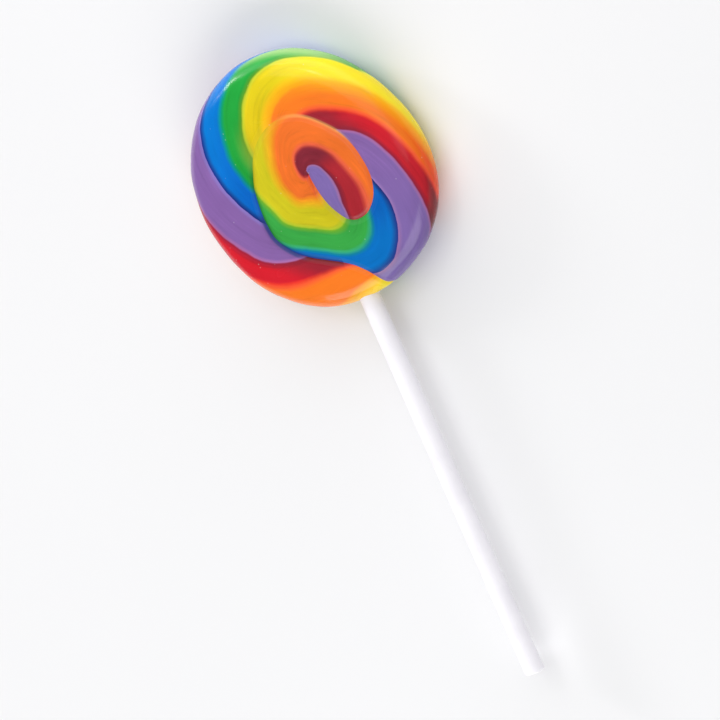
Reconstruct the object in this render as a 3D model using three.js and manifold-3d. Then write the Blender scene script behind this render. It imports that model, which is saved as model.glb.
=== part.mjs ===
// A swirl lollipop: a rope of coloured candy coiled into a flat disc and pressed, on a plain white stick.
//
// Millimetres, +Z up. The lollipop lies on its back. The origin is the middle of the small flat spot
// under the candy, on which it rests. The shown face looks up, and the stick runs towards -Y at the
// middle of the candy's thickness. A bearing is an angle in degrees, clockwise from +Y seen from above.
import * as THREE from "three";
import { mergeVertices } from "three/addons/utils/BufferGeometryUtils.js";
import Module from "manifold-3d";

// The candy: each face is a shallow dome that runs smoothly into a round rim.
const CANDY_RADIUS = 25;
const CANDY_HALF_THICKNESS = 5.5;
const RIM_RADIUS = 4.5;
const RESTING_FLAT_RADIUS = 10;
// How the rim strays from a circle: the waves round it, and their cosine and sine parts over the bearing.
const RIM_WAVES = [
  [1, -0.18, 0.04],
  [2, 0.12, -0.03],
  [3, 0.23, -0.15],
  [4, -0.01, 0.2],
];

// The coil: the rope starts at the eye and winds outwards counterclockwise, nearly two turns. A crease
// marks the seam between its turns on both faces, and crosses the rim at the rope's outer end.
const EYE = new THREE.Vector2(2.6, 1.6);
const CREASE_DEPTH = 0.35;
const CREASE_HALF_WIDTH = 1;
const CREASE_FADE = 3;
// How far the seam lies from the eye, as [bearing, distance over the face], from the eye out. It leaves
// the eye straight down the blunt inner end, and reaches the rim along the blunt outer end. Bearings
// run on below zero, so that each turn has its own.
const SEAM_COURSE = [
  [184, 0],
  [177, 3],
  [168, 8],
  [160, 11.4],
  [152, 12.5],
  [142, 13],
  [133, 12.95],
  [112, 12.3],
  [90, 11.5],
  [66, 11.2],
  [40, 10.8],
  [10, 11.3],
  [-20, 11.65],
  [-55, 11.65],
  [-70, 11.7],
  [-87, 12.3],
  [-100, 13.05],
  [-117, 14.45],
  [-129, 15.7],
  [-140, 16.2],
  [-150, 16.4],
  [-162, 16.8],
  [-172.5, 17.65],
  [-181, 19.15],
  [-186, 20.9],
  [-189, 22.8],
  [-190, 24.5],
  [-191, 30],
];

// The stick: a straight round rod, pushed into the rim and a little off the candy's middle line.
const STICK_RADIUS = 2;
const STICK_LENGTH = 100;
const STICK_DEPTH_IN_CANDY = 22;
const STICK_OFFSET_X = 1;
const STICK_END_BEVEL = 0.3;
const GAP = 0.3;
// The crease's cutter starts this far over the face, and reaches this far over it.
const CUTTER_LIFT = 0.1;
const CUTTER_TOP = 1;

// How finely the surfaces are divided.
const CANDY_SIDES = 96;
const DOME_STEPS = 4;
const RIM_STEPS = 12;
const SEAM_STEPS = 100;
const CREASE_STEPS = 6;
const STICK_SIDES = 32;
// Details smaller than this are left out of the cut candy.
const LEAST_DETAIL = 0.004;

const wasm = await Module();
wasm.setup();

// The dome's radius and centre follow from the rim circle that it touches.
const rimCentreRadius = CANDY_RADIUS - RIM_RADIUS;
const rise = CANDY_HALF_THICKNESS - RIM_RADIUS;
const domeCentreDrop = (rimCentreRadius ** 2 - rise ** 2) / (2 * rise);
const domeRadius = CANDY_HALF_THICKNESS + domeCentreDrop;
const domeAngle = Math.atan2(rimCentreRadius, domeCentreDrop);
const domeReach = domeRadius * domeAngle;
const faceReach = domeReach + RIM_RADIUS * (Math.PI / 2 - domeAngle);
const restingHeight = Math.sqrt(domeRadius ** 2 - RESTING_FLAT_RADIUS ** 2) - domeCentreDrop;

/** The point of the candy's profile at a distance over the face, as radius and height, with its slope. */
function profileAt(reach) {
  if (reach < domeReach) {
    const slope = reach / domeRadius;
    const point = new THREE.Vector2(Math.sin(slope), Math.cos(slope)).multiplyScalar(domeRadius);
    return { slope, radius: point.x, height: point.y - domeCentreDrop };
  }
  const slope = domeAngle + (reach - domeReach) / RIM_RADIUS;
  const point = new THREE.Vector2(Math.sin(slope), Math.cos(slope)).multiplyScalar(RIM_RADIUS);
  return { slope, radius: rimCentreRadius + point.x, height: point.y };
}

/** The pressed disc, before its creases: its profile turned about +Z, flattened where it rests. */
function pressedDisc() {
  const domeStep = domeReach / DOME_STEPS;
  const rimStep = (faceReach - domeReach) / (RIM_STEPS / 2);
  const reaches = [];
  for (let i = 0; i < DOME_STEPS; i++) reaches.push(i * domeStep);
  for (let i = 0; i <= RIM_STEPS / 2; i++) reaches.push(domeReach + i * rimStep);
  const upper = reaches.map(profileAt).map(({ radius, height }) => new THREE.Vector2(radius, height));
  const lower = upper.slice(0, -1).map(({ x, y }) => new THREE.Vector2(x, -y));
  const turned = new THREE.LatheGeometry([...lower, ...upper.reverse()], CANDY_SIDES);
  const disc = solidOf(turned.rotateX(Math.PI / 2).translate(0, 0, restingHeight));
  return disc.trimByPlane([0, 0, 1], 0);
}

/** The unit vector in the candy's plane that points along a bearing. */
function heading(bearing) {
  const angle = THREE.MathUtils.degToRad(bearing);
  return new THREE.Vector2(Math.sin(angle), Math.cos(angle));
}

/** The seam's evenly spaced places from the eye to the rim, on the face laid out flat. */
function seamPlaces() {
  const keys = SEAM_COURSE.map(([bearing, distance]) => {
    const place = heading(bearing).multiplyScalar(distance).add(EYE);
    return new THREE.Vector3(place.x, place.y, 0).clampLength(0, faceReach);
  });
  return new THREE.CatmullRomCurve3(keys).getSpacedPoints(SEAM_STEPS);
}

/** The point and normal of the upper (side 1) or lower (side -1) face for a place on the flat face. */
function onFace(place, side) {
  const { slope, radius, height } = profileAt(place.length());
  const outwards = place.clone().normalize();
  const point = outwards.clone().multiplyScalar(radius);
  const normal = outwards.multiplyScalar(Math.sin(slope));
  point.z = restingHeight + side * height;
  normal.z = side * Math.cos(slope);
  return { point, normal };
}

/** How much of the crease's depth there is at a place: it fades out at the eye and on the flat spot. */
function creaseShare(place, side) {
  const fromEye = Math.hypot(place.x - EYE.x, place.y - EYE.y);
  const fadedIn = THREE.MathUtils.smoothstep(fromEye, 0, CREASE_FADE);
  const fromFlat = place.length() - RESTING_FLAT_RADIUS;
  return side > 0 ? fadedIn : fadedIn * THREE.MathUtils.smoothstep(fromFlat, 0, CREASE_HALF_WIDTH);
}

/** What the crease takes away: a bell-shaped section that runs over one face, round the rim and back. */
function creaseCutter() {
  const places = seamPlaces();
  const upper = places.map((place) => ({ share: creaseShare(place, 1), ...onFace(place, 1) }));
  const lower = places.map((place) => ({ share: creaseShare(place, -1), ...onFace(place, -1) }));
  const stations = [...upper, ...lower.reverse().slice(1)];
  const positions = [];
  const sectionSize = CREASE_STEPS + 3;
  stations.forEach(({ point, normal, share }, i) => {
    const before = stations[Math.max(i - 1, 0)].point;
    const after = stations[Math.min(i + 1, stations.length - 1)].point;
    const sideways = after.clone().sub(before).cross(normal).normalize();
    const add = (across, height) => {
      const corner = point.clone().addScaledVector(sideways, across * CREASE_HALF_WIDTH);
      positions.push(...corner.addScaledVector(normal, height).toArray());
    };
    for (let step = 0; step <= CREASE_STEPS; step++) {
      const across = (2 * step) / CREASE_STEPS - 1;
      const bell = 1 - THREE.MathUtils.smoothstep(Math.abs(across), 0, 1);
      add(across, CUTTER_LIFT - share * (CUTTER_LIFT + CREASE_DEPTH) * bell);
    }
    add(1, CUTTER_TOP);
    add(-1, CUTTER_TOP);
  });

  const triangles = [];
  for (let i = 1; i < stations.length; i++) {
    for (let k = 0; k < sectionSize; k++) {
      const [here, next] = [k, (k + 1) % sectionSize].map((corner) => (i - 1) * sectionSize + corner);
      triangles.push(here, next + sectionSize, next, here, here + sectionSize, next + sectionSize);
    }
  }
  const last = (stations.length - 1) * sectionSize;
  for (let k = 1; k < sectionSize - 1; k++) {
    triangles.push(0, k, k + 1, last, last + k + 1, last + k);
  }
  const geometry = new THREE.BufferGeometry();
  geometry.setAttribute("position", new THREE.Float32BufferAttribute(positions, 3));
  geometry.setIndex(triangles);
  return solidOf(geometry);
}

/** Moves a corner in or out, so that the pressed candy isn't quite round. */
function strayFromCircle(corner) {
  const bearing = Math.atan2(corner[0], corner[1]);
  let stray = 0;
  for (const [waves, cosinePart, sinePart] of RIM_WAVES) {
    stray += cosinePart * Math.cos(waves * bearing) + sinePart * Math.sin(waves * bearing);
  }
  corner[0] *= 1 + stray / CANDY_RADIUS;
  corner[1] *= 1 + stray / CANDY_RADIUS;
}

/** A round rod with bevelled ends on the stick's line, from its inner end's Y towards -Y. */
function rod(radius, length, innerEndY) {
  const profile = [
    new THREE.Vector2(0, 0),
    new THREE.Vector2(radius - STICK_END_BEVEL, 0),
    new THREE.Vector2(radius, STICK_END_BEVEL),
    new THREE.Vector2(radius, length - STICK_END_BEVEL),
    new THREE.Vector2(radius - STICK_END_BEVEL, length),
    new THREE.Vector2(0, length),
  ];
  const turned = new THREE.LatheGeometry(profile, STICK_SIDES);
  return turned.translate(STICK_OFFSET_X, innerEndY - length, restingHeight);
}

/** A closed mesh as a solid that can be cut. */
function solidOf(geometry) {
  const bare = geometry.clone();
  for (const name of ["normal", "uv"]) bare.deleteAttribute(name);
  const merged = mergeVertices(bare);
  const vertProperties = merged.attributes.position.array;
  const triVerts = new Uint32Array(merged.index.array);
  return new wasm.Manifold(new wasm.Mesh({ numProp: 3, vertProperties, triVerts }));
}

/** A solid as a mesh. */
function geometryOf(solid) {
  const mesh = solid.getMesh();
  const geometry = new THREE.BufferGeometry();
  geometry.setAttribute("position", new THREE.BufferAttribute(mesh.vertProperties, 3));
  geometry.setIndex(new THREE.BufferAttribute(mesh.triVerts, 1));
  geometry.computeVertexNormals();
  return geometry;
}

/** One named piece of the lollipop. */
function piece(name, geometry, material) {
  const mesh = new THREE.Mesh(geometry, new THREE.MeshStandardMaterial({ metalness: 0, ...material }));
  mesh.name = name;
  return mesh;
}

const stickInnerEndY = STICK_DEPTH_IN_CANDY - CANDY_RADIUS;
const socketLength = 2 * STICK_DEPTH_IN_CANDY;
const socket = solidOf(rod(STICK_RADIUS + GAP, socketLength, stickInnerEndY + GAP));
const candySolid = pressedDisc().subtract(creaseCutter()).warp(strayFromCircle).subtract(socket);
const candy = geometryOf(candySolid.asOriginal().simplify(LEAST_DETAIL));
const stick = rod(STICK_RADIUS, STICK_LENGTH, stickInnerEndY);

const lollipop = new THREE.Group();
lollipop.add(piece("candy", candy, { color: "#f0862c", roughness: 0.15 }));
lollipop.add(piece("stick", stick, { color: "#eeeaf0", roughness: 0.6 }));

export default lollipop;
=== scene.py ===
"""A swirl lollipop: a twisted rope of six coloured sugar strips, coiled and pressed into a disc on a stick.

Metres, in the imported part's own frame: the candy lies on its back with its flat spot on the floor at the
origin, and the stick runs towards -Y. Sizes of the sweet are given in millimetres, as a sweet maker gives
them, and those of the studio in metres. A bearing is an angle in degrees, clockwise from +Y seen from above,
about the coil's eye.
"""

from __future__ import annotations

import logging
import math
from dataclasses import dataclass, field
from enum import Enum
from functools import reduce
from typing import Any, Mapping, Sequence, Union

import bmesh
import bpy
import numpy as np
from mathutils import Matrix, Vector
from mathutils.geometry import delaunay_2d_cdt


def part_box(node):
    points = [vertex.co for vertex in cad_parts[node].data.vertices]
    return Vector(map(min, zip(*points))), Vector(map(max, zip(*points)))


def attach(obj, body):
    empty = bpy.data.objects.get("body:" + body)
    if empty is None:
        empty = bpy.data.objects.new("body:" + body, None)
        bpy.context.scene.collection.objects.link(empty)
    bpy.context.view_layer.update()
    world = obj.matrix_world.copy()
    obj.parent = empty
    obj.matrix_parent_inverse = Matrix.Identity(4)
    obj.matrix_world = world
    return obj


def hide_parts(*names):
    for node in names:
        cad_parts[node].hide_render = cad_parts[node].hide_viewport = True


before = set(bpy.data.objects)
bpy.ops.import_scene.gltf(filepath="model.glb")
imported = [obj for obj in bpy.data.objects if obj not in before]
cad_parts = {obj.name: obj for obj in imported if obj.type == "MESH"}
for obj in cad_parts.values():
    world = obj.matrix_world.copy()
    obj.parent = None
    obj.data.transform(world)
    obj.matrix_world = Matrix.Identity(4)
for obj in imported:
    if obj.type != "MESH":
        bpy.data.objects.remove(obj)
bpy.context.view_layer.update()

LOG = logging.getLogger("lollipop")
MM = 0.001
FULL_TURN = 360.0
WELD = 2e-6  # metres, within which a piece's points are joined
TOUCHING = 1e-6  # millimetres, within which two flat places count as one
AT_A_TIME = 2000  # how many places are compared with a whole line at a time

Colour = tuple[float, float, float]
Edges = tuple[float, ...]
Keys = tuple[tuple[float, float], ...]


class Side(Enum):
    """The two faces of the pressed candy."""

    SHOWN = 1.0
    UNDER = -1.0


# ---------------------------------------------------------------------------------------- node trees


class Value:
    """A number that a node tree works out. An expression on it adds the Math nodes that it takes."""

    def __init__(self, bench: Bench, socket: bpy.types.NodeSocket) -> None:
        """Wraps a node's output socket, on the bench that its tree is built on."""
        self.bench = bench
        self.socket = socket

    def __add__(self, other: Number) -> Value:
        """self + other."""
        return self.bench.math("ADD", self, other)

    def __sub__(self, other: Number) -> Value:
        """self - other."""
        return self.bench.math("SUBTRACT", self, other)

    def __rsub__(self, other: Number) -> Value:
        """other - self."""
        return self.bench.math("SUBTRACT", other, self)

    def __mul__(self, other: Number) -> Value:
        """self * other."""
        return self.bench.math("MULTIPLY", self, other)

    def __truediv__(self, other: Number) -> Value:
        """self / other."""
        return self.bench.math("DIVIDE", self, other)

    def __pow__(self, other: Number) -> Value:
        """self to the power of other."""
        return self.bench.math("POWER", self, other)

    def __lt__(self, other: Number) -> Value:
        """1 where self is under other, and 0 elsewhere."""
        return self.bench.math("LESS_THAN", self, other)

    def at_least(self, other: Number) -> Value:
        """The greater of self and other."""
        return self.bench.math("MAXIMUM", self, other)

    def step(self, low: Number, high: Number, to: tuple[Number, Number] = (0.0, 1.0)) -> Value:
        """A soft step over self.

        Args:
            low: where the step starts.
            high: where it ends.
            to: the results before the start and after the end.

        Returns:
            The step's height.
        """
        ends = {"Value": self, "From Min": low, "From Max": high, "To Min": to[0], "To Max": to[1]}
        return self.bench.value("ShaderNodeMapRange", {"interpolation_type": "SMOOTHSTEP"}, ends, "Result")

    def band(self, start: float, full: float, fading: float | None = None, gone: float | None = None) -> Value:
        """A soft step from 0 to 1, which goes back to 0 where it is told where it fades and is gone."""
        rise = self.step(start, full)
        return rise if fading is None else rise * self.step(gone, fading)

    __radd__ = __add__
    __rmul__ = __mul__


Number = Union[Value, float]


class Bench:
    """Where a node tree is put together."""

    def __init__(self, tree: bpy.types.NodeTree) -> None:
        """Starts on an empty tree."""
        self.tree = tree
        tree.nodes.clear()

    def node(
        self,
        kind: str,
        settings: Mapping[str, Any] | None = None,
        sockets: Mapping[str | int, Any] | None = None,
    ) -> bpy.types.Node:
        """Adds one node.

        Args:
            kind: the node's type.
            settings: its properties, set first. "stops" are a ramp's (position, colour) pairs.
            sockets: what goes into its inputs, by name or number: a Value, a socket or a constant.

        Returns:
            The node.
        """
        node = self.tree.nodes.new(kind)
        for name, setting in (settings or {}).items():
            if name == "stops":
                self._set_stops(node.color_ramp, setting)
            else:
                setattr(node, name, setting)
        for name, given in (sockets or {}).items():
            given = given.socket if isinstance(given, Value) else given
            if isinstance(given, bpy.types.NodeSocket):
                self.tree.links.new(given, node.inputs[name])
            else:
                node.inputs[name].default_value = given
        return node

    @staticmethod
    def _set_stops(ramp: bpy.types.ColorRamp, stops: Sequence[tuple[float, Colour]]) -> None:
        """Gives a ramp its stops.

        Args:
            ramp: the ramp.
            stops: each stop's position and colour, in order of position.
        """
        while len(ramp.elements) > 1:
            ramp.elements.remove(ramp.elements[-1])
        for number, (position, colour) in enumerate(stops):
            stop = ramp.elements[0] if number == 0 else ramp.elements.new(position)
            stop.position = position
            stop.color = (*colour, 1.0)

    def value(
        self,
        kind: str,
        settings: Mapping[str, Any] | None = None,
        sockets: Mapping[str | int, Any] | None = None,
        output: str | int = 0,
    ) -> Value:
        """Adds one node as node() does.

        Args:
            kind: the node's type.
            settings: its properties.
            sockets: what goes into its inputs.
            output: the output that is wanted, by name or number.

        Returns:
            That output as a Value.
        """
        return Value(self, self.node(kind, settings, sockets).outputs[output])

    def math(self, operation: str, *numbers: Number) -> Value:
        """A Math node on one, two or three numbers."""
        return self.value("ShaderNodeMath", {"operation": operation}, dict(enumerate(numbers)))

    def vector(self, operation: str, *vectors: Any, output: str | int = 0, **sockets: Any) -> Value:
        """A Vector Math node on vectors, and on the inputs that go by a name."""
        given = {**dict(enumerate(vectors)), **sockets}
        return self.value("ShaderNodeVectorMath", {"operation": operation}, given, output)

    def axes(self, vector: Any) -> tuple[Value, ...]:
        """A vector's X, Y and Z."""
        outputs = self.node("ShaderNodeSeparateXYZ", {}, {0: vector}).outputs
        return tuple(Value(self, output) for output in outputs)

    def bump(self, height: Value, strength: float, distance: float) -> Value:
        """The normal that a height gives the surface. The distance, in metres, is the height of 1."""
        sockets = {"Height": height, "Strength": strength, "Distance": distance}
        return self.value("ShaderNodeBump", {}, sockets, "Normal")

    def noise(self, vector: Any, scale: float, detail: float = 2.0, roughness: float = 0.5) -> Value:
        """Soft noise from 0 to 1.

        Args:
            vector: where it is read.
            scale: how many lumps there are to a unit.
            detail: how many finer layers it has.
            roughness: how strong those are.

        Returns:
            The noise.
        """
        sockets = {"Vector": vector, "Scale": scale, "Detail": detail, "Roughness": roughness}
        return self.value("ShaderNodeTexNoise", {"noise_dimensions": "3D"}, sockets)

    def blend(self, share: Number, low: Any, high: Any, way: str = "MIX") -> Value:
        """A Mix node on colours.

        Args:
            share: how much of the second colour there is.
            low: the first colour, or a Value that holds one.
            high: the second.
            way: how the two are blended.

        Returns:
            The blended colour.
        """
        low, high = (given if isinstance(given, Value) else (*given, 1.0) for given in (low, high))
        settings = {"data_type": "RGBA", "blend_type": way}
        return self.value("ShaderNodeMix", settings, {0: share, 6: low, 7: high}, 2)


def linear(colour: Colour) -> Colour:
    """A colour as a chart gives it, from 0 to 1, in the linear form that shaders take."""
    return tuple(c / 12.92 if c <= 0.04045 else ((c + 0.055) / 1.055) ** 2.4 for c in colour)


def new_material(name: str) -> tuple[bpy.types.Material, Bench]:
    """Starts a material.

    Args:
        name: its name.

    Returns:
        The empty material, and the bench for its nodes.
    """
    material = bpy.data.materials.new(name)
    material.use_nodes = True
    return material, Bench(material.node_tree)


def finish_material(bench: Bench, settings: Mapping[str, Any]) -> None:
    """Ends a material in one Principled shader with these inputs."""
    shader = bench.node("ShaderNodeBsdfPrincipled", {}, settings)
    bench.node("ShaderNodeOutputMaterial", {}, {"Surface": shader.outputs["BSDF"]})


# ------------------------------------------------------------------------------------------ finishes


@dataclass(frozen=True)
class Tint:
    """The colours across a strip: at its first edge, in its middle and at its last edge."""

    first: Colour
    middle: Colour
    last: Colour


@dataclass(frozen=True)
class Strip:
    """One coloured strip of the rope, deeper in colour near the rope's inner end.

    Its edges run into its middle over their widths, and blend into the strip before it over the blend.
    Widths are in strips.
    """

    name: str
    width: float
    blend: float
    edges: tuple[float, float]
    tint: Tint
    core_tint: Tint


@dataclass(frozen=True)
class Zone:
    """A part of the candy, where each reading that is named lies in its band, and how much it counts.

    A band is given by where it starts, where it is full and, if it ends, where it fades and where it is gone.
    """

    share: float
    where: Mapping[str, Edges]

    def cover(self, readings: Mapping[str, Value]) -> Number:
        """How much of the zone there is at a place.

        Args:
            readings: what the material knows of the place, by name.

        Returns:
            The zone's share in its middle, and less towards the edges of its bands.
        """
        cover = self.share
        for name, edges in self.where.items():
            cover = cover * readings[name].band(*edges)
        return cover


@dataclass(frozen=True)
class Patch(Zone):
    """A zone in another colour than its strip's: the sugar's own colour in some, painted light and shade in
    others.
    """

    colour: Colour


@dataclass(frozen=True)
class Shade:
    """Where shade is painted on the sugar. Its zones add up, and so do those that say how strongly it tells.
    """

    zones: tuple[Zone, ...]
    strength: tuple[Zone, ...]

    def cover(self, readings: Mapping[str, Value]) -> Value:
        """How much shade is painted at a place.

        Args:
            readings: what the material knows of the place, by name.

        Returns:
            The share of the darkened colour.
        """
        return math.prod(sum(zone.cover(readings) for zone in zones) for zones in (self.zones, self.strength))


OUTER_TURN: Edges = (60.0, 85.0)


@dataclass(frozen=True)
class BoiledSugar:
    """Glossy boiled sugar in six strips side by side round the rope.

    The material reads the piece's "rope" map: how far round the rope a place is, in strips, and how far
    along it, in millimetres. It also reads how far across its turn the place is, from 0 to 1, and how far
    from the seam, in millimetres. "on_seam" is how far along the rope it is in turns, less whole turns.
    """

    strips: tuple[Strip, ...] = (
        Strip(
            "purple", 1.35, 0.03, (0.15, 0.15),
            Tint((0.53, 0.46, 0.75), (0.52, 0.38, 0.635), (0.66, 0.42, 0.64)),
            Tint((0.60, 0.44, 0.64), (0.49, 0.405, 0.66), (0.62, 0.43, 0.62)),
        ),
        Strip(
            "red", 0.85, 0.03, (0.24, 0.14),
            Tint((0.62, 0.13, 0.23), (0.82, 0.11, 0.17), (0.90, 0.21, 0.16)),
            Tint((0.46, 0.13, 0.22), (0.66, 0.15, 0.19), (0.74, 0.24, 0.21)),
        ),
        Strip(
            "orange", 1.10, 0.06, (0.22, 0.20),
            Tint((0.97, 0.37, 0.20), (0.96, 0.48, 0.13), (0.97, 0.64, 0.09)),
            Tint((0.91, 0.38, 0.26), (0.92, 0.44, 0.16), (0.92, 0.53, 0.13)),
        ),
        Strip(
            "yellow", 1.05, 0.10, (0.34, 0.16),
            Tint((0.95, 0.73, 0.10), (0.89, 0.81, 0.11), (0.80, 0.84, 0.22)),
            Tint((0.90, 0.68, 0.12), (0.80, 0.76, 0.12), (0.69, 0.76, 0.18)),
        ),
        Strip(
            "green", 0.80, 0.03, (0.18, 0.14),
            Tint((0.36, 0.62, 0.15), (0.13, 0.64, 0.24), (0.03, 0.61, 0.40)),
            Tint((0.42, 0.67, 0.17), (0.22, 0.64, 0.27), (0.22, 0.68, 0.47)),
        ),
        Strip(
            "blue", 0.85, 0.05, (0.14, 0.22),
            Tint((0.02, 0.56, 0.66), (0.00, 0.47, 0.81), (0.10, 0.21, 0.54)),
            Tint((0.04, 0.50, 0.60), (0.00, 0.43, 0.74), (0.13, 0.22, 0.52)),
        ),
    )
    maroon: Colour = (0.50, 0.15, 0.21)
    maroon_edges: Edges = (-0.04, 0.05, -0.16, 0.10)
    # Where the red turns maroon: its own colour round the eye, painted shade by the seam and by the rim.
    maroon_and_shade: tuple[Zone, ...] = (
        Zone(0.95, {"along": (19.0, 27.0, 52.0, 62.0)}),
        Zone(0.70, {"along": (62.0, 80.0), "across": (0.42, 0.10)}),
        Zone(0.45, {"along": (80.0, 86.0), "across": (0.70, 0.90)}),
    )
    # Painted shade in the valley along the outer turn's inner edge, beside the inner turn.
    valley: Shade = Shade(
        (Zone(1.00, {"across": (0.60, 0.05), "along": OUTER_TURN, "round_rope": (3.1, 3.8)}),),
        (Zone(0.30, {"round_rope": (4.8, 4.2)}), Zone(0.30, {"round_rope": (5.0, 5.4)}), Zone(0.12, {})),
    )
    # Painted shade on the outer turn's rim, on the side that turns away from the lamps.
    by_rim: Shade = Shade(
        (
            Zone(
                0.75,
                {"across": (0.72, 0.94), "along": (66.0, 84.0, 100.0, 108.0), "round_rope": (3.2, 2.6)},
            ),
        ),
        (Zone(0.65, {"round_rope": (1.2, 1.5)}), Zone(0.35, {})),
    )
    # Painted shade in the seam's crease, full only down the left and along the bottom.
    in_seam: Shade = Shade(
        (Zone(0.45, {"from_seam": (1.4, 0.1)}), Zone(0.40, {"from_seam": (0.5, 0.0)})),
        (Zone(0.85, {"on_seam": (0.60, 0.78)}), Zone(0.15, {})),
    )
    # Painted highlight: a pale line on the seam's lip over the top, where the lip catches the light.
    painted_lip_highlight: Patch = Patch(
        0.35, {"from_seam": (0.55, 0.05), "on_seam": (0.28, 0.36, 0.48, 0.56)},
        (1.00, 0.80, 0.45),
    )
    # Painted shade: a navy line in the seam's crease along the bottom of the outer turn.
    navy_crease_shade: Patch = Patch(
        0.85,
        {
            "from_seam": (0.90, 0.40), "across": (0.50, 0.30), "along": OUTER_TURN,
            "on_seam": (0.80, 0.84, 0.91, 0.94),
        },
        (0.13, 0.23, 0.50),
    )
    olive_mix: Patch = Patch(
        0.55, {"round_rope": (4.00, 4.30, 4.45, 4.90), "across": (0.40, 0.10), "along": (118.0, 128.0)},
        (0.54, 0.66, 0.22),
    )
    golden_orange: Patch = Patch(
        0.60, {"round_rope": (2.66, 3.15, 3.30, 3.60), "along": (86.0, 94.0, 105.0, 116.0)},
        (1.00, 0.70, 0.04),
    )
    # Lemon yellow on the right of the outer turn: partly the strip's own colour, partly painted light on the
    # rim that turns from the lamps.
    lemon_and_painted_glow: Patch = Patch(
        0.68, {"round_rope": (3.22, 3.58, 4.26, 4.36), "along": (80.0, 88.0, 106.0, 116.0)},
        (1.00, 0.91, 0.10),
    )
    # Painted glow: pale green on the outer turn's top rim, as if light shone through the thin rim.
    painted_green_glow: Patch = Patch(
        0.40,
        {
            "across": (0.76, 0.96), "along": (102.0, 110.0, 120.0, 130.0),
            "round_rope": (4.25, 4.45, 5.05, 5.30),
        },
        (0.93, 1.00, 0.70),
    )
    turn_length: float = 75.4
    core_end: Edges = (75.0, 105.0)
    edge_wander: float = 0.10
    maroon_wander: float = 0.20
    wander_to_a_metre: float = 260.0
    streaks_to_a_strip: float = 5.0
    streaks_to_a_millimetre: float = 0.09
    pale_streak: float = 0.16
    dark_streak: float = 0.20
    clouds_to_a_metre: float = 120.0
    clouding: float = 0.20
    bubbles_to_a_metre: float = 900.0
    bubble_share: float = 0.18
    ripples_to_a_metre: float = 420.0
    grains_to_a_metre: float = 2600.0

    @property
    def round_whole(self) -> float:
        """How many strips' widths there are round the rope."""
        return sum(strip.width for strip in self.strips)

    def span(self, wanted: str) -> tuple[float, float]:
        """Where a strip lies round the rope.

        Args:
            wanted: the strip's name.

        Returns:
            Where it starts and where it ends, in strips.
        """
        number = [strip.name for strip in self.strips].index(wanted)
        start = sum(strip.width for strip in self.strips[:number])
        return start, start + self.strips[number].width

    def stops(self, core: bool) -> list[tuple[float, Colour]]:
        """The ramp round the rope, from the purple's first edge and back to it.

        Args:
            core: whether it is for the rope's inner end.

        Returns:
            The stops.
        """
        stops = []
        for strip, following in zip(self.strips, self.strips[1:] + self.strips[:1]):
            tint = strip.core_tint if core else strip.tint
            start, end = self.span(strip.name)
            stops += [(start + strip.blend, tint.first), (start + strip.edges[0], tint.middle)]
            stops += [(end - strip.edges[1], tint.middle), (end - following.blend, tint.last)]
        return [(position / self.round_whole, linear(colour)) for position, colour in stops]

    def maroon_share(self, readings: Mapping[str, Value]) -> Value:
        """How much of the red turns maroon: its own colour round the eye, painted shade by the seam and by the
        rim.

        Args:
            readings: what the material knows of the place, by name.

        Returns:
            The share: nearly all of the red round the eye, and some of it by the seam and by the rim.
        """
        start, end = self.span("red")
        edges = (edge + stray for edge, stray in zip((start, start, end, end), self.maroon_edges))
        maroon_and_shade = reduce(Value.at_least, (zone.cover(readings) for zone in self.maroon_and_shade))
        return readings["round_rope"].band(*edges) * maroon_and_shade

    def painted_shade_share(self, readings: Mapping[str, Value]) -> Value:
        """How much shade is painted: in the valley along a turn's inner edge, by the rim and in the seam.

        Args:
            readings: what the material knows of the place, by name.

        Returns:
            The share. It is low in the seam on the way over the top, where the two turns are melted together.
        """
        shades = (self.valley, self.by_rim, self.in_seam)
        return reduce(Value.at_least, (shade.cover(readings) for shade in shades))

    def bubbles(self, bench: Bench, place: bpy.types.NodeSocket) -> Value:
        """Small bubbles just under the surface.

        Args:
            bench: the bench of the material.
            place: the place on the piece.

        Returns:
            1 in a bubble, and 0 elsewhere.
        """
        sockets = {"Vector": place, "Scale": self.bubbles_to_a_metre}
        cells = bench.node("ShaderNodeTexVoronoi", {"feature": "F1"}, sockets).outputs
        chance = bench.axes(cells["Color"])[0]
        return Value(bench, cells["Distance"]).step(0.05, 0.16, (1.0, 0.0)) * chance.band(0.90, 0.97)

    def material(self) -> bpy.types.Material:
        """Makes the material.

        Returns:
            The boiled sugar.
        """
        material, bench = new_material("boiled_sugar")
        round_rope, along = bench.axes(bench.node("ShaderNodeUVMap", {"uv_map": "rope"}).outputs["UV"])[:2]
        place = bench.node("ShaderNodeTexCoord").outputs["Object"]
        from_seam, across = (
            bench.value("ShaderNodeAttribute", {"attribute_name": name}, output="Fac")
            for name in ("from_seam", "across")
        )

        # The strips' edges wander a little.
        wander = bench.noise(place, self.wander_to_a_metre, 3.0) - 0.5
        turned = bench.math("FRACT", (round_rope + wander * self.edge_wander) / self.round_whole)
        readings = {
            "round_rope": turned * self.round_whole,
            "along": along,
            "across": across,
            "from_seam": from_seam,
            "on_seam": bench.math("FRACT", along / self.turn_length),
        }
        colour = bench.blend(
            along.band(*self.core_end),
            bench.value("ShaderNodeValToRGB", {"stops": self.stops(core=True)}, {0: turned}),
            bench.value("ShaderNodeValToRGB", {"stops": self.stops(core=False)}, {0: turned}),
        )
        # Maroon: the red's own colour round the eye, painted shade by the seam and by the rim.
        maroon_and_shade = self.maroon_share({**readings, "across": across + wander * self.maroon_wander})
        colour = bench.blend(maroon_and_shade, colour, linear(self.maroon))

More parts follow.
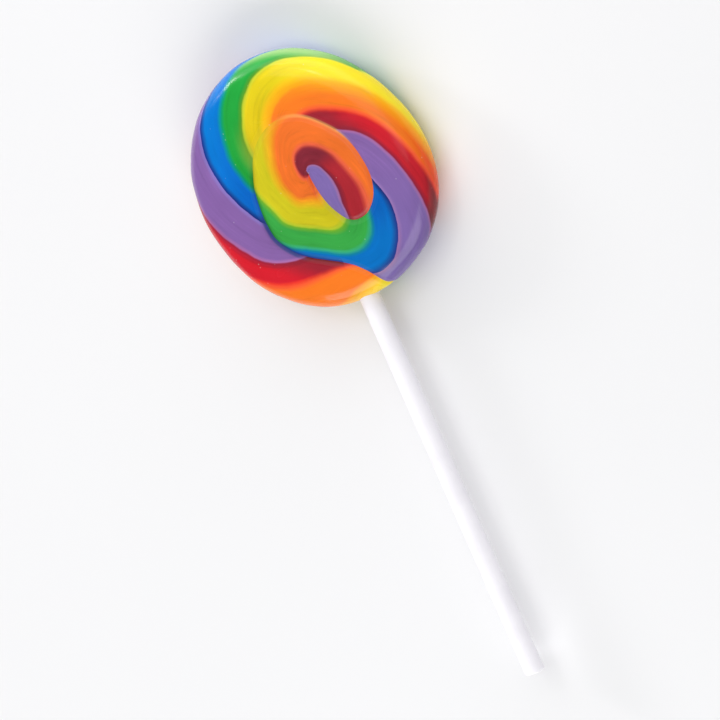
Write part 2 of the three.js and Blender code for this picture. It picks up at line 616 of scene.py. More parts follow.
        # Fine pulled streaks follow the strips, and soft clouds lie under them.
        pulled = {"X": round_rope * self.streaks_to_a_strip, "Y": along * self.streaks_to_a_millimetre}
        streaks = bench.noise(bench.node("ShaderNodeCombineXYZ", {}, pulled).outputs[0], 1.0, 4.0, 0.6)
        clouds = bench.noise(place, self.clouds_to_a_metre, 2.0)
        brightness = 1 + (clouds - 0.5) * self.clouding + streaks.band(0.50, 0.80) * self.pale_streak
        brightness = brightness - streaks.band(0.50, 0.20) * self.dark_streak
        colour = bench.vector("SCALE", colour, Scale=brightness)
        # Painted shade: the colour multiplied by itself, blended in the valley, by the rim and in the seam.
        deeper = bench.blend(1.0, colour, colour, "MULTIPLY")
        colour = bench.blend(self.painted_shade_share(readings), colour, deeper)
        # Own colours: golden orange, olive. Painted light and shade: the pale lip, navy line, lemon (partly),
        # milky green.
        for patch in (
            self.painted_lip_highlight, self.navy_crease_shade, self.olive_mix, self.golden_orange, self.lemon_and_painted_glow,
            self.painted_green_glow,
        ):
            colour = bench.blend(patch.cover(readings), colour, linear(patch.colour))
        bubbles = self.bubbles(bench, place)
        colour = bench.blend(bubbles * self.bubble_share, colour, (1.0, 1.0, 1.0))

        # Soft ripples, fine grain, the streaks and dimples over the bubbles. The seam is less glossy.
        height = bench.noise(place, self.ripples_to_a_metre, 3.0) * 0.5 + streaks * 0.30 - bubbles * 0.25
        height = height + bench.noise(place, self.grains_to_a_metre, 2.0) * 0.06
        rough = clouds.step(0.3, 0.8, (0.18, 0.28)) + from_seam.band(1.3, 0.3) * 0.25
        finish_material(
            bench,
            {
                "Base Color": colour,
                "Roughness": rough,
                "Normal": bench.bump(height, 0.20, 0.0004),
                "IOR": 1.5,
                "Specular IOR Level": 0.22,
                "Subsurface Weight": 0.12,
                "Subsurface Radius": (1.0, 0.7, 0.6),
                "Subsurface Scale": 0.0008,
                "Coat Weight": 0.12,
                "Coat Roughness": 0.10,
            },
        )
        return material


@dataclass(frozen=True)
class RolledPaper:
    """Smooth white paper, rolled tight and pressed, with a faint edge winding round the stick."""

    colour: Colour = (0.985, 0.975, 1.0)
    shade: Colour = (0.92, 0.91, 0.94)
    winding: float = 24.0
    edge_width: float = 0.006
    fibres_to_a_metre: float = 3200.0
    fibre_shape: tuple[float, float, float] = (1.0, 0.12, 1.0)
    mottle_to_a_metre: float = 180.0

    def material(self) -> bpy.types.Material:
        """Makes the material.

        It reads the piece's "wrap" map: turns round the stick, and millimetres along it.

        Returns:
            The rolled paper.
        """
        material, bench = new_material("rolled_paper")
        turns, along = bench.axes(bench.node("ShaderNodeUVMap", {"uv_map": "wrap"}).outputs["UV"])[:2]
        place = bench.node("ShaderNodeTexCoord").outputs["Object"]
        sockets = {"Vector": place, "Scale": self.fibre_shape}
        drawn_out = bench.value("ShaderNodeMapping", {"vector_type": "POINT"}, sockets)
        fibres = bench.noise(drawn_out, self.fibres_to_a_metre, 3.0)
        mottle = bench.noise(place, self.mottle_to_a_metre, 2.0)
        edge = bench.math("ABSOLUTE", bench.math("FRACT", turns + along / self.winding) - 0.5)
        edge = edge.band(self.edge_width, 0.0)
        shading = mottle.band(0.35, 0.75) * 0.35 + fibres.band(0.4, 0.9) * 0.2 + edge * 0.25
        colour = bench.blend(shading, linear(self.colour), linear(self.shade))
        height = fibres * 0.3 + mottle * 0.5 - edge * 0.3
        finish_material(
            bench,
            {
                "Base Color": colour,
                "Roughness": fibres.step(0.3, 0.8, (0.48, 0.62)),
                "Normal": bench.bump(height, 0.10, 0.0003),
                "Subsurface Weight": 0.1,
                "Subsurface Radius": (1.0, 1.0, 1.0),
                "Subsurface Scale": 0.0005,
            },
        )
        return material


@dataclass(frozen=True)
class PaleFloor:
    """The studio's plain pale floor."""

    colour: Colour = (0.93, 0.93, 0.935)
    cloud_shade: float = 0.97
    clouds_to_a_metre: float = 9.0

    def material(self) -> bpy.types.Material:
        """Makes the material.

        Returns:
            The floor's finish.
        """
        material, bench = new_material("pale_floor")
        place = bench.node("ShaderNodeTexCoord").outputs["Object"]
        cloud = bench.noise(place, self.clouds_to_a_metre, 2.0)
        shade = tuple(self.cloud_shade * c for c in linear(self.colour))
        colour = bench.blend(cloud, linear(self.colour), shade)
        finish_material(bench, {"Base Color": colour, "Roughness": 0.85, "Specular IOR Level": 0.15})
        return material


# ------------------------------------------------------------------------------------------- the rope


@dataclass(frozen=True)
class Course:
    """A smooth line through keys, which never swings past them."""

    keys: Keys

    def __call__(self, at: np.ndarray) -> np.ndarray:
        """The line's heights, held level beyond the first and last key.

        Args:
            at: where along the keys' first numbers.

        Returns:
            The heights there.
        """
        places, heights = np.array(sorted(self.keys)).T
        gaps = np.diff(places)
        rises = np.diff(heights) / gaps
        slopes = np.r_[rises[0], np.zeros(len(places) - 2), rises[-1]]
        for i in range(1, len(places) - 1):
            if rises[i - 1] * rises[i] > 0:
                before, after = 2 * gaps[i] + gaps[i - 1], gaps[i] + 2 * gaps[i - 1]
                slopes[i] = (before + after) / (before / rises[i - 1] + after / rises[i])
        at = np.clip(at, places[0], places[-1])
        i = np.clip(np.searchsorted(places, at) - 1, 0, len(gaps) - 1)
        t = (at - places[i]) / gaps[i]
        level = heights[i] * (1 + 2 * t) * (1 - t) ** 2 + heights[i + 1] * t**2 * (3 - 2 * t)
        return level + gaps[i] * t * (1 - t) * (slopes[i] * (1 - t) - slopes[i + 1] * t)


def soft_step(value: np.ndarray, low: float, high: float) -> np.ndarray:
    """A soft step from 0 at low to 1 at high."""
    share = np.clip((value - low) / (high - low), 0, 1)
    return share**2 * (3 - 2 * share)


@dataclass(frozen=True)
class CoiledRope:
    """How the rope lies in the disc, over a face laid out flat, and how it is twisted.

    The seam between its turns leaves the eye down the blunt inner end and reaches the rim along the blunt
    outer end. The twists say which strip, counted round the rope, lies at its inner and outer edge, and the
    swell how much further round its middle lies than halfway.
    """

    face_reach: float
    eye: tuple[float, float] = (2.6, 1.6)
    seam: Keys = (
        (184, 0), (177, 3), (168, 8.0), (160, 11.4), (152, 12.5), (142, 13.0), (133, 12.95), (112, 12.3),
        (90, 11.5), (66, 11.2), (40, 10.8), (10, 11.3), (-20, 11.65), (-55, 11.65), (-70, 11.7), (-87, 12.3),
        (-100, 13.05), (-117, 14.45), (-129, 15.7), (-140, 16.2), (-150, 16.4), (-162, 16.8), (-172.5, 17.65),
        (-181, 19.15), (-186, 20.9), (-189, 22.8), (-190, 24.5), (-191, 30.0),
    )
    inner_twist: Keys = (
        (184, 0.27), (130, 0.35), (90, 0.45), (40, 0.78), (-10, 1.19), (-60, 1.68), (-110, 1.91),
        (-150, 2.22), (-175, 2.89), (-195, 3.83), (-210, 4.57), (-225, 5.22), (-250, 6.05), (-280, 6.65),
        (-310, 7.46), (-345, 8.24), (-382, 9.32), (-410, 10.14), (-440, 10.92), (-480, 12.10),
        (-520, 13.68), (-550, 14.90),
    )
    outer_twist: Keys = (
        (184, 0.12), (168, 0.62), (160, 0.94), (155, 1.30), (150, 1.64), (120, 2.60), (80, 2.94),
        (40, 2.99), (0, 3.18), (-40, 3.71), (-84, 4.28), (-122, 5.00), (-160, 5.56), (-185, 5.83),
        (-200, 6.17), (-218, 7.04), (-240, 8.30), (-270, 9.45), (-305, 10.18), (-322, 10.55),
        (-340, 10.86), (-370, 11.44), (-400, 12.40), (-432, 13.38), (-465, 14.38), (-500, 15.01),
        (-525, 15.22), (-550, 15.62),
    )
    middle_swell: Keys = (
        (184, -0.21), (160, -0.08), (125, 0.12), (90, 0.21), (50, 0.22), (0, 0.22), (-50, 0.25), (-90, 0.20),
        (-130, 0.11), (-165, 0.02), (-200, -0.07), (-235, -0.17), (-270, -0.22), (-310, -0.15),
        (-350, -0.14), (-390, -0.04), (-430, -0.03), (-480, 0.06), (-510, 0.22), (-550, 0.35),
    )
    seam_depth: Keys = (
        (184, 1.0), (60, 1.0), (30, 0.6), (5, 0.35), (-45, 0.35), (-75, 1.0), (-191, 1.0),
    )
    inner_taper: tuple[float, float] = (124, 212)
    outer_taper: tuple[float, float] = (-150, -235)
    taper_lead: float = 5.0
    strips_round: float = 6.0
    mean_radius: float = 12.0
    narrowest_turn: float = 0.5
    under_lag: float = 1.6
    seam_samples: int = 4000

    @property
    def start(self) -> float:
        """The bearing at which the seam leaves the eye."""
        return self.seam[0][0]

    @property
    def end(self) -> float:
        """The bearing at which the seam reaches the rim."""
        return self.seam[-1][0]

    def rim(self, bearing: np.ndarray) -> np.ndarray:
        """How far the rim is from the eye, over the face.

        Args:
            bearing: the bearings.

        Returns:
            The distance at each.
        """
        angle = np.radians(bearing)
        along = self.eye[0] * np.sin(angle) + self.eye[1] * np.cos(angle)
        return np.sqrt(along**2 - np.dot(self.eye, self.eye) + self.face_reach**2) - along

    def seam_distance(self, bearing: np.ndarray) -> np.ndarray:
        """The seam's distance from the eye, over the face, at bearings that it reaches."""
        return np.minimum(Course(self.seam)(bearing), self.rim(bearing))

    def place(self, bearing: np.ndarray, distance: np.ndarray) -> np.ndarray:
        """Places on the flat face at bearings and distances from the eye."""
        angle = np.radians(bearing)
        return np.stack([self.eye[0] + distance * np.sin(angle), self.eye[1] + distance * np.cos(angle)], -1)

    def seam_line(self, spacing: float) -> np.ndarray:
        """The seam as evenly spaced places on the flat face, from the eye to the rim.

        Args:
            spacing: how far apart they are.

        Returns:
            The places, the last one exactly on the rim.
        """
        bearing = np.linspace(self.start, self.end, self.seam_samples)
        line = self.place(bearing, self.seam_distance(bearing))
        inside = np.hypot(*line.T) < self.face_reach - TOUCHING
        line = line[: int(np.argmin(inside)) + 1] if not inside.all() else line
        length = np.r_[0, np.cumsum(np.hypot(*np.diff(line, axis=0).T))]
        wanted = np.linspace(0, length[-1], int(length[-1] / spacing) + 1)
        line = np.stack([np.interp(wanted, length, line[:, axis]) for axis in (0, 1)], -1)
        line[-1] *= self.face_reach / np.hypot(*line[-1])
        return line

    def depth_along(self, line: np.ndarray) -> np.ndarray:
        """How deep the crease is along the seam line.

        Args:
            line: the seam line's places, from the eye to the rim.

        Returns:
            The depth at each place, as a share of the full depth.
        """
        offset = line - np.array(self.eye)
        bearing = np.degrees(np.unwrap(np.arctan2(offset[1:, 0], offset[1:, 1])))
        bearing += FULL_TURN * np.round((self.start - bearing[0]) / FULL_TURN)
        return Course(self.seam_depth)(np.r_[self.start, bearing])

    def guide(self, bearing: np.ndarray) -> np.ndarray:
        """The rope's outer edge if both ends tapered off, which the strips follow past the blunt ends.

        Args:
            bearing: the bearings, wound on from turn to turn.

        Returns:
            The edge's distance from the eye at each.
        """
        reached = np.clip(bearing, self.outer_taper[0] - self.taper_lead, self.inner_taper[0])
        middle = self.seam_distance(reached)
        inner = middle * soft_step(-bearing, -self.inner_taper[1], -self.inner_taper[0])
        outwards = soft_step(-bearing, -self.outer_taper[0], -self.outer_taper[1])
        outer = middle * (1 - outwards) + self.rim(bearing) * outwards
        return np.where(bearing > self.inner_taper[0], inner, outer)

    def corner_maps(self, places: np.ndarray, faces: np.ndarray) -> tuple[dict[Side, np.ndarray], np.ndarray]:
        """The rope map of each corner of flat triangles, for both faces of the candy.

        Args:
            places: the flat places of the triangles' points.
            faces: the triangles. None of them crosses the seam.

        Returns:
            For each side, how far round the rope, in strips, and how far along it, in millimetres; and how
            far across its turn each corner is, from 0 at the inner edge to 1.
        """
        offset = places[faces] - np.array(self.eye)
        middle = offset.mean(1)
        bearing = np.degrees(np.arctan2(middle[:, 0], middle[:, 1]))
        bearing = self.start - np.mod(self.start - bearing, FULL_TURN)
        distance = np.hypot(*middle.T)
        next_turn = bearing - FULL_TURN
        crossed = (self.seam_distance(bearing) < distance).astype(float)
        crossed += (next_turn >= self.end) & (self.seam_distance(next_turn) < distance) & (crossed > 0)

        corner_bearing = np.degrees(np.arctan2(offset[..., 0], offset[..., 1]))
        turned = np.mod(corner_bearing - bearing[:, None] + FULL_TURN / 2, FULL_TURN) - FULL_TURN / 2
        corner_distance = np.hypot(offset[..., 0], offset[..., 1])
        turned[corner_distance < TOUCHING] = 0
        wound = (bearing - FULL_TURN * crossed)[:, None] + turned
        edge_in = np.where(wound + FULL_TURN > self.inner_taper[1], 0, self.guide(wound + FULL_TURN))
        across = (corner_distance - edge_in) / np.maximum(self.guide(wound) - edge_in, self.narrowest_turn)
        inner, outer = Course(self.inner_twist)(wound), Course(self.outer_twist)(wound)
        along = np.radians(self.start - wound) * self.mean_radius
        swell = 4 * across * (1 - across) * Course(self.middle_swell)(wound)
        shown = inner + (outer - inner) * across + swell
        under = outer + (inner + self.strips_round - outer) * np.maximum(1 - across, 0) ** self.under_lag
        maps = {Side.SHOWN: np.stack([shown, along], -1), Side.UNDER: np.stack([under, along], -1)}
        return maps, across


# ----------------------------------------------------------------------------------------- the candy


def tree_input(tree: bpy.types.NodeTree, name: str, kind: str, default: float | None = None) -> str:
    """Adds a named input to a geometry tree.

    Args:
        tree: the tree.
        name: the input's name.
        kind: its socket type.
        default: its value, where it is a number.

    Returns:
        The input's identifier, by which a modifier sets it.
    """
    socket = tree.interface.new_socket(name=name, in_out="INPUT", socket_type=kind)
    if default is not None:
        socket.default_value = default
    return socket.identifier


def placed(name: str, data: bpy.types.ID) -> bpy.types.Object:
    """Puts a new object in the scene.

    Args:
        name: its name.
        data: its mesh, light or camera.

    Returns:
        The object.
    """
    obj = bpy.data.objects.new(name, data)
    bpy.context.scene.collection.objects.link(obj)
    return obj


def settled(obj: bpy.types.Object) -> bpy.types.Object:
    """Turns an object's live modifiers into one plain mesh.

    Args:
        obj: the object.

    Returns:
        The same object, without modifiers.
    """
    graph = bpy.context.evaluated_depsgraph_get()
    mesh = bpy.data.meshes.new_from_object(
        obj.evaluated_get(graph), preserve_all_data_layers=True, depsgraph=graph
    )
    rough, obj.data = obj.data, mesh
    obj.modifiers.clear()
    bpy.data.meshes.remove(rough)
    mesh.name = obj.name
    return obj


@dataclass(frozen=True)
class CoiledCandy:
    """The coiled rope, pressed into a disc: two shallow domes that run into a round rim."""

    radius: float = 25.0
    half_thickness: float = 5.5
    rim_radius: float = 4.5
    flat_radius: float = 10.0
    crease_depth: float = 0.30
    crease_width: float = 0.9
    rim_waves: tuple[tuple[int, float, float], ...] = (
        (1, -0.18, 0.04), (2, 0.12, -0.03), (3, 0.23, -0.15), (4, -0.01, 0.20),
    )
    unevenness: float = 0.30
    lumps_to_a_metre: float = 90.0
    spacing: float = 0.40
    seam_spacing: float = 0.30
    seam_rows: tuple[float, ...] = (0.10, 0.25, 0.45, 0.70)
    least_gap: float = 0.9
    rim_clearance: float = 0.12
    finish: BoiledSugar = field(default_factory=BoiledSugar)

    @property
    def dome(self) -> tuple[float, float]:
        """How the dome is bent.

        Returns:
            Its radius, and the angle at which it runs into the rim.
        """
        rim_centre, rise = self.radius - self.rim_radius, self.half_thickness - self.rim_radius
        drop = (rim_centre**2 - rise**2) / (2 * rise)
        return self.half_thickness + drop, math.atan2(rim_centre, drop)

    @property
    def dome_reach(self) -> float:
        """How far over the face the dome runs before the rim starts."""
        return math.prod(self.dome)

    @property
    def face_reach(self) -> float:
        """How far it is over the face from its middle to the rim's widest line."""
        return self.dome_reach + self.rim_radius * (math.pi / 2 - self.dome[1])

    def roundness(self, places: np.ndarray) -> np.ndarray:
        """How far the pressed candy reaches.

        Args:
            places: flat places.

        Returns:
            The reach towards each, as a share of a true circle's.
        """
        turned = np.arctan2(places[:, 0], places[:, 1])
        stray = sum(c * np.cos(waves * turned) + s * np.sin(waves * turned) for waves, c, s in self.rim_waves)
        return 1 + stray / self.radius

    @staticmethod
    def nearest_stretch(places: np.ndarray, line: np.ndarray) -> tuple[np.ndarray, np.ndarray]:
        """Looks up the nearest part of a line of short stretches.

        Args:
            places: the places.
            line: the line's points.

        Returns:
            Each place's distance from the nearest stretch, and that stretch's number.
        """
        start, stretch = line[:-1], np.diff(line, axis=0)
        nearest, number = np.full(len(places), np.inf), np.zeros(len(places), int)
        for first in range(0, len(places), AT_A_TIME):
            some = slice(first, first + AT_A_TIME)
            offset = places[some, None] - start
            share = np.clip((offset * stretch).sum(-1) / (stretch**2).sum(-1), 0, 1)
            gaps = np.linalg.norm(offset - share[..., None] * stretch, axis=-1)
            nearest[some], number[some] = gaps.min(1), gaps.argmin(1)
        return nearest, number

    @classmethod
    def from_line(cls, places: np.ndarray, line: np.ndarray) -> np.ndarray:
        """How far places are from a line of short stretches."""
        return cls.nearest_stretch(places, line)[0]

    def flat_rope(self, rope: CoiledRope) -> bpy.types.Mesh:
        """The rope's face laid out flat, divided along the seam.

        Args:
            rope: how the rope lies in the disc.

        Returns:
            A flat mesh with the rope maps of both faces and each point's distance from the seam.
        """
        reach = self.face_reach
        seam = rope.seam_line(self.seam_spacing)
        slope = np.gradient(seam, axis=0)
        sideways = np.stack([-slope[:, 1], slope[:, 0]], -1) / np.hypot(*slope.T)[:, None]
        rows = []
        for row in self.seam_rows:
            for beside in (seam[1:-1] + row * sideways[1:-1], seam[1:-1] - row * sideways[1:-1]):
                clear = self.from_line(beside, seam) > self.least_gap * row
                rows.append(beside[clear & (np.hypot(*beside.T) < reach - self.rim_clearance)])

        rim_count = round(2 * math.pi * self.radius / self.spacing)
        rim_start = math.atan2(seam[-1, 0], seam[-1, 1])
        rim_angle = rim_start + 2 * math.pi * np.arange(rim_count) / rim_count
        rim = reach * np.stack([np.sin(rim_angle), np.cos(rim_angle)], -1)
        lattice = []
        ring_count = round(reach / self.spacing)
        for ring in range(1, ring_count):
            ring_reach = reach * ring / ring_count
            count = round(rim_count * min(ring_reach / self.dome_reach, 1))
            angle = rim_start + 2 * math.pi * (np.arange(count) + 0.5 * (ring % 2)) / count
            lattice.append(ring_reach * np.stack([np.sin(angle), np.cos(angle)], -1))
        lattice = np.concatenate(lattice)
        lattice = lattice[self.from_line(lattice, seam) > self.seam_rows[-1] + 0.5 * self.spacing]

        rim_first = len(seam) - 1
        points = np.concatenate([seam, rim[1:], *rows, lattice])
        edges = [(i, i + 1) for i in range(rim_first)]
        edges += [(rim_first + i, rim_first + i + 1) for i in range(rim_count - 1)]
        edges.append((rim_first + rim_count - 1, rim_first))
        flat = delaunay_2d_cdt([Vector(p) for p in points], edges, [], 0, TOUCHING, False)
        places = np.array([tuple(p) for p in flat[0]])
        faces = np.array(flat[2])

        mesh = bpy.data.meshes.new("flat_rope")
        mesh.from_pydata([(x * MM, y * MM, 0.0) for x, y in places], [], faces.tolist())
        rope_maps, across = rope.corner_maps(places, faces)
        from_seam, stretch = self.nearest_stretch(places, seam)
        seam_depth = rope.depth_along(seam)[stretch]
        for side, corner_map in rope_maps.items():
            layer = mesh.attributes.new(f"rope_{side.name.lower()}", "FLOAT2", "CORNER")
            layer.data.foreach_set("vector", corner_map.astype(np.float32).ravel())
        for name, domain, heights in (
            ("across", "CORNER", across),
            ("from_seam", "POINT", from_seam),
            ("seam_depth", "POINT", seam_depth),
            ("roundness", "POINT", self.roundness(places)),
        ):
            layer = mesh.attributes.new(name, "FLOAT", domain)
            layer.data.foreach_set("value", heights.astype(np.float32).ravel())
        return mesh

    def press_tree(self) -> tuple[bpy.types.NodeTree, dict[str, str]]:
        """The tree that presses the flat rope into the disc.

        Returns:
            The tree, and the identifiers of its inputs by name.
        """
        tree = bpy.data.node_groups.new("press_candy", "GeometryNodeTree")
        bench = Bench(tree)
        names = {"Flat Rope": tree_input(tree, "Flat Rope", "NodeSocketGeometry")}
        for name in (
            "Radius", "Half Thickness", "Rim Radius", "Resting Height", "Resting Flat Radius",
            "Crease Depth", "Crease Width", "Unevenness", "Lumps to a Metre",
        ):
            names[name] = tree_input(tree, name, "NodeSocketFloat", 0.0)
        names["Material"] = tree_input(tree, "Material", "NodeSocketMaterial")
        tree.interface.new_socket(name="Candy", in_out="OUTPUT", socket_type="NodeSocketGeometry")
        given = bench.node("NodeGroupInput").outputs
        size = {name: Value(bench, given[name]) for name in names}

        # The dome's radius and middle follow from the rim that it touches.
        rim_centre = size["Radius"] - size["Rim Radius"]
        rise = size["Half Thickness"] - size["Rim Radius"]
        drop = (rim_centre**2 - rise**2) / (rise * 2)
        dome = size["Half Thickness"] + drop
        dome_angle = bench.math("ARCTAN2", rim_centre, drop)
        dome_reach = dome * dome_angle

        position = bench.value("GeometryNodeInputPosition")
        reach = bench.vector("LENGTH", position, output="Value")
        outwards = bench.vector("NORMALIZE", position)
        on_dome = reach < dome_reach
        on_rim = 1 - on_dome
        slope = on_dome * (reach / dome) + on_rim * (dome_angle + (reach - dome_reach) / size["Rim Radius"])
        bend = on_dome * dome + on_rim * size["Rim Radius"]
        sine, cosine = bench.math("SINE", slope), bench.math("COSINE", slope)
        from_seam, roundness, seam_depth = (
            bench.value("GeometryNodeInputNamedAttribute", {}, {"Name": name})
            for name in ("from_seam", "roundness", "seam_depth")
        )
        crease = (from_seam * MM).step(0.0, size["Crease Width"], (1.0, 0.0))
        crease = crease * seam_depth * size["Crease Depth"]
        flat_end = size["Resting Flat Radius"]
        off_flat = reach.step(flat_end, flat_end + size["Crease Width"])

        def face_point(side: Side, bend_radius: Value) -> Value:
            """A point of a face, from the middle of the candy's thickness.

            Args:
                side: the face.
                bend_radius: how far the point is from the middle of its bend.

            Returns:
                The point.
            """
            flat = bench.vector("SCALE", outwards, Scale=on_rim * rim_centre + bend_radius * sine)
            height = (bend_radius * cosine - drop * on_dome) * side.value
            return bench.vector("ADD", flat, bench.value("ShaderNodeCombineXYZ", {}, {"Z": height}))

        faces = []
        for side in Side:
            even = bench.vector("SCALE", face_point(side, bend), Scale=size["Lumps to a Metre"])
            worn = crease + bench.noise(even, 1.0, 1.0, 0.4).step(0.2, 0.8) * size["Unevenness"]
            worn = worn if side is Side.SHOWN else worn * off_flat
            x, y, z = bench.axes(face_point(side, bend - worn))
            point = {"X": x * roundness, "Y": y * roundness}
            point["Z"] = (z + size["Resting Height"]).at_least(0.0)
            source = bench.value(
                "GeometryNodeInputNamedAttribute", {"data_type": "FLOAT_VECTOR"},
                {"Name": f"rope_{side.name.lower()}"},
            )
            face = bench.value(
                "GeometryNodeStoreNamedAttribute", {"data_type": "FLOAT2", "domain": "CORNER"},
                {"Geometry": size["Flat Rope"], "Name": "rope", "Value": source},
            )
            if side is Side.UNDER:
                face = bench.value("GeometryNodeFlipFaces", {}, {"Mesh": face})
            pressed = {"Geometry": face, "Position": bench.value("ShaderNodeCombineXYZ", {}, point)}
            faces.append(bench.node("GeometryNodeSetPosition", {}, pressed).outputs[0])

        both = bench.node("GeometryNodeJoinGeometry")
        for face in reversed(faces):
            tree.links.new(face, both.inputs[0])
        made = bench.node("GeometryNodeMergeByDistance", {}, {"Geometry": both.outputs[0], "Distance": WELD})
        for name in ("rope_shown", "rope_under", "roundness", "seam_depth"):
            made = bench.node("GeometryNodeRemoveAttribute", {}, {0: made.outputs[0], "Name": name})
        made = bench.node("GeometryNodeSetShadeSmooth", {}, {0: made.outputs[0]})
        made = bench.node("GeometryNodeRealizeInstances", {}, {0: made.outputs[0]})
        made = bench.node("GeometryNodeSetMaterial", {}, {0: made.outputs[0], "Material": size["Material"]})
        bench.node("NodeGroupOutput", {}, {0: made.outputs[0]})
        return tree, names

    def build(self) -> bpy.types.Object:
        """Builds and dresses the candy, and puts it in the place of its solid.

        Returns:
            The finished piece.
        """
        candy = placed("coiled_candy", self.flat_rope(CoiledRope(self.face_reach)))
        tree, names = self.press_tree()
        modifier = candy.modifiers.new("press", "NODES")
        modifier.node_group = tree
        sizes = {
            "Radius": self.radius * MM,
            "Half Thickness": self.half_thickness * MM,
            "Rim Radius": self.rim_radius * MM,
            "Resting Height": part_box("candy")[1].z - self.half_thickness * MM,
            "Resting Flat Radius": self.flat_radius * MM,
            "Crease Depth": self.crease_depth * MM,
            "Crease Width": self.crease_width * MM,
            "Unevenness": self.unevenness * MM,
            "Lumps to a Metre": self.lumps_to_a_metre,
            "Material": self.finish.material(),
        }
        for name, given in sizes.items():
            modifier[names[name]] = given
        settled(candy)
        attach(candy, "root")
        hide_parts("candy")
        return candy


# ----------------------------------------------------------------------------------------- the stick


@dataclass(frozen=True)
class PaperStick:
    """The straight round stick, pushed into the candy's rim."""

    radius: float = 2.0
    end_rounding: float = 0.3
    sides: int = 96
    ring_step: float = 2.5
    rounding_step: int = 15
    end_rings: tuple[float, ...] = (0.0, 0.35, 0.7)
    finish: RolledPaper = field(default_factory=RolledPaper)

    def profile(self, length: float) -> list[tuple[float, float]]:
        """The stick's outline, as pairs of how far along and how wide.

        Args:
            length: the stick's length.

        Returns:
            The outline from the middle of one end to the middle of the other.
        """
        arc = [math.radians(angle) for angle in range(90, -1, -self.rounding_step)]
        inner, rounding = self.radius - self.end_rounding, self.end_rounding
        near = [(rounding * (1 - math.sin(a)), inner + rounding * math.cos(a)) for a in arc]
        far = [(length - along, wide) for along, wide in near[::-1]]
        count = round(length / self.ring_step)
        between = [(length * i / count, self.radius) for i in range(1, count)]
        faces = [(0.0, inner * share) for share in self.end_rings]
        return faces + near + between + far + [(length - along, wide) for along, wide in faces[::-1]]

    def build(self) -> bpy.types.Object:
        """Builds and dresses the stick, and puts it in the place of its solid.

        Returns:
            The finished piece.
        """
        low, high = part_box("stick")
        axis = (low + high) / 2
        profile = self.profile((high.y - low.y) / MM)
        points, faces, wraps = [], [], []
        for along, wide in profile:
            for side in range(self.sides):
                angle = 2 * math.pi * side / self.sides
                x = axis.x + wide * MM * math.cos(angle)
                points.append((x, high.y - along * MM, axis.z + wide * MM * math.sin(angle)))
        for ring in range(len(profile) - 1):
            for side in range(self.sides):
                here, following = ring * self.sides + side, ring * self.sides + (side + 1) % self.sides
                faces.append((here, following, following + self.sides, here + self.sides))
                for turn, row in ((side, ring), (side + 1, ring), (side + 1, ring + 1), (side, ring + 1)):
                    wraps.append((turn / self.sides, profile[row][0]))
        mesh = bpy.data.meshes.new("paper_stick")
        mesh.from_pydata(points, [], faces)
        layer = mesh.attributes.new("wrap", "FLOAT2", "CORNER")
        layer.data.foreach_set("vector", np.array(wraps, np.float32).ravel())
        mesh.shade_smooth()
        mesh.materials.append(self.finish.material())
        stick = placed("paper_stick", mesh)
        self._close_ends(stick)
        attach(stick, "root")
        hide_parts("stick")
        return stick

    @staticmethod
    def _close_ends(stick: bpy.types.Object) -> None:
        """Joins the points at the middle of each end, and turns the faces outwards.

        Args:
            stick: the stick, whose mesh changes.
        """
        work = bmesh.new()
        work.from_mesh(stick.data)
        bmesh.ops.remove_doubles(work, verts=work.verts, dist=WELD)
        bmesh.ops.recalc_face_normals(work, faces=work.faces)
        work.to_mesh(stick.data)
        work.free()


# ---------------------------------------------------------------------------------------- the studio


@dataclass(frozen=True)
class SoftLight:
    """One soft light, aimed at the candy. Its second side stands up."""

    name: str
    towards: tuple[float, float, float]
    size: tuple[float, float]
    watts: float
    distance: float = 0.9

    def hang(self, aim: Vector) -> None:
        """Puts the light up.

        Args:
            aim: the point that it faces.
        """
        data = bpy.data.lights.new(self.name, "AREA")
        data.shape = "RECTANGLE"
        data.size, data.size_y = self.size
        data.energy = self.watts
        light = placed(self.name, data)
        direction = Vector(self.towards).normalized()
        light.location = aim + direction * self.distance
        light.rotation_euler = direction.to_track_quat("Z", "Y").to_euler()


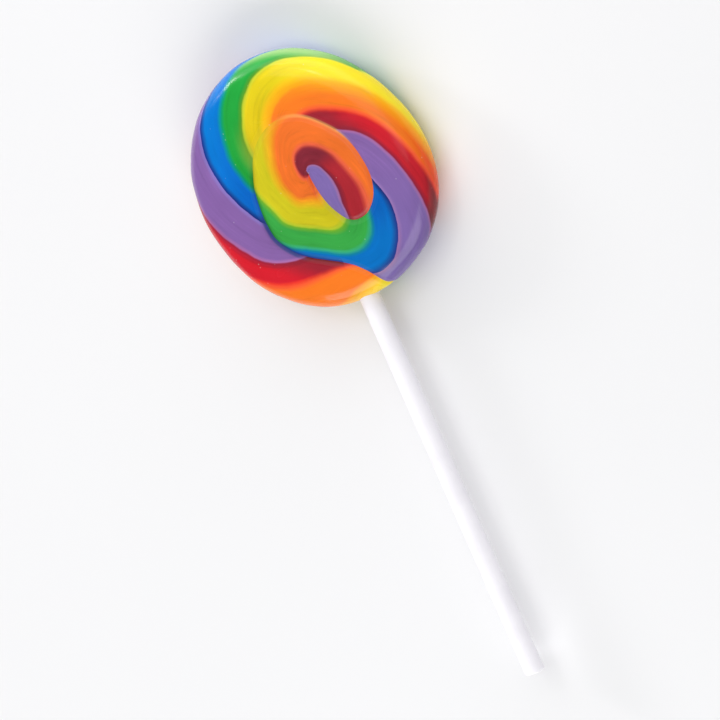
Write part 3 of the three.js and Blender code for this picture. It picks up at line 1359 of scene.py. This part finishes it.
@dataclass(frozen=True)
class Studio:
    """The floor, the soft light and the camera. The sensor alone is in millimetres."""

    floor_size: float = 3.0
    floor_gap: float = 0.00005
    towards_camera: tuple[float, float, float] = (0.5035, 0.1650, 0.8481)
    image_up: tuple[float, float, float] = (0.2700, 0.9024, -0.3359)
    camera_distance: float = 1.6
    sight: float = 10.0
    sensor: float = 36.0
    view_width: float = 0.134
    look_right: float = 0.009
    look_up: float = -0.034
    world_colour: Colour = (1.0, 1.0, 1.0)
    world_strength: float = 0.20
    lights: tuple[SoftLight, ...] = (
        SoftLight("ceiling", (0.12, 0.45, 0.88), (1.1, 1.1), 4.9),
        SoftLight("back", (0.00, 0.95, 0.30), (2.2, 0.5), 8.0),
        SoftLight("front", (-0.10, -0.85, 0.45), (1.0, 0.6), 7.0),
        SoftLight("window", (-0.72, 0.60, 0.30), (0.16, 0.16), 1.5),
        SoftLight("lamp", (-0.035, 0.58, 0.81), (0.10, 0.10), 0.3),
    )

    def lay_floor(self) -> bpy.types.Object:
        """Lays the floor just under the candy's flat spot.

        Returns:
            The floor.
        """
        half = self.floor_size / 2
        corners = [(x * half, y * half, -self.floor_gap) for x, y in ((-1, -1), (1, -1), (1, 1), (-1, 1))]
        mesh = bpy.data.meshes.new("floor")
        mesh.from_pydata(corners, [], [(0, 1, 2, 3)])
        mesh.materials.append(PaleFloor().material())
        floor = placed("floor", mesh)
        return floor

    def set_camera(self) -> bpy.types.Object:
        """Sets up the camera, rolled with the candy's tilt.

        Returns:
            The camera.
        """
        towards = Vector(self.towards_camera).normalized()
        up = Vector(self.image_up)
        up = (up - up.dot(towards) * towards).normalized()
        right = up.cross(towards)
        middle = Vector((0.0, 0.0, CoiledCandy.half_thickness * MM))
        aim = middle + right * self.look_right + up * self.look_up
        data = bpy.data.cameras.new("camera")
        data.sensor_width = self.sensor
        data.lens = self.sensor * self.camera_distance / self.view_width
        data.clip_end = self.sight
        camera = placed("camera", data)
        turn = Matrix((right, up, towards)).transposed().to_4x4()
        camera.matrix_world = Matrix.Translation(aim + towards * self.camera_distance) @ turn
        bpy.context.scene.camera = camera
        return camera

    def set_light(self) -> None:
        """Sets the room's even light, hangs the soft lights and keeps colours as they are mixed."""
        scene = bpy.context.scene
        scene.world = bpy.data.worlds.new("studio")
        scene.world.use_nodes = True
        bench = Bench(scene.world.node_tree)
        sockets = {"Color": (*self.world_colour, 1.0), "Strength": self.world_strength}
        background = bench.node("ShaderNodeBackground", {}, sockets)
        bench.node("ShaderNodeOutputWorld", {}, {"Surface": background.outputs[0]})
        for light in self.lights:
            light.hang(Vector((0.0, 0.0, 0.0)))
        scene.view_settings.view_transform = "Standard"


def report(piece: bpy.types.Object) -> None:
    """Logs a finished piece's name and how many triangles it has."""
    piece.data.calc_loop_triangles()
    LOG.info("%s: %d triangles", piece.name, len(piece.data.loop_triangles))


def main() -> None:
    """Builds the lollipop and its studio."""
    logging.basicConfig(level=logging.INFO, format="%(message)s")
    studio = Studio()
    studio.lay_floor()
    studio.set_camera()
    studio.set_light()
    for part in (CoiledCandy(), PaperStick()):
        report(part.build())


if __name__ == "__main__":
    main()
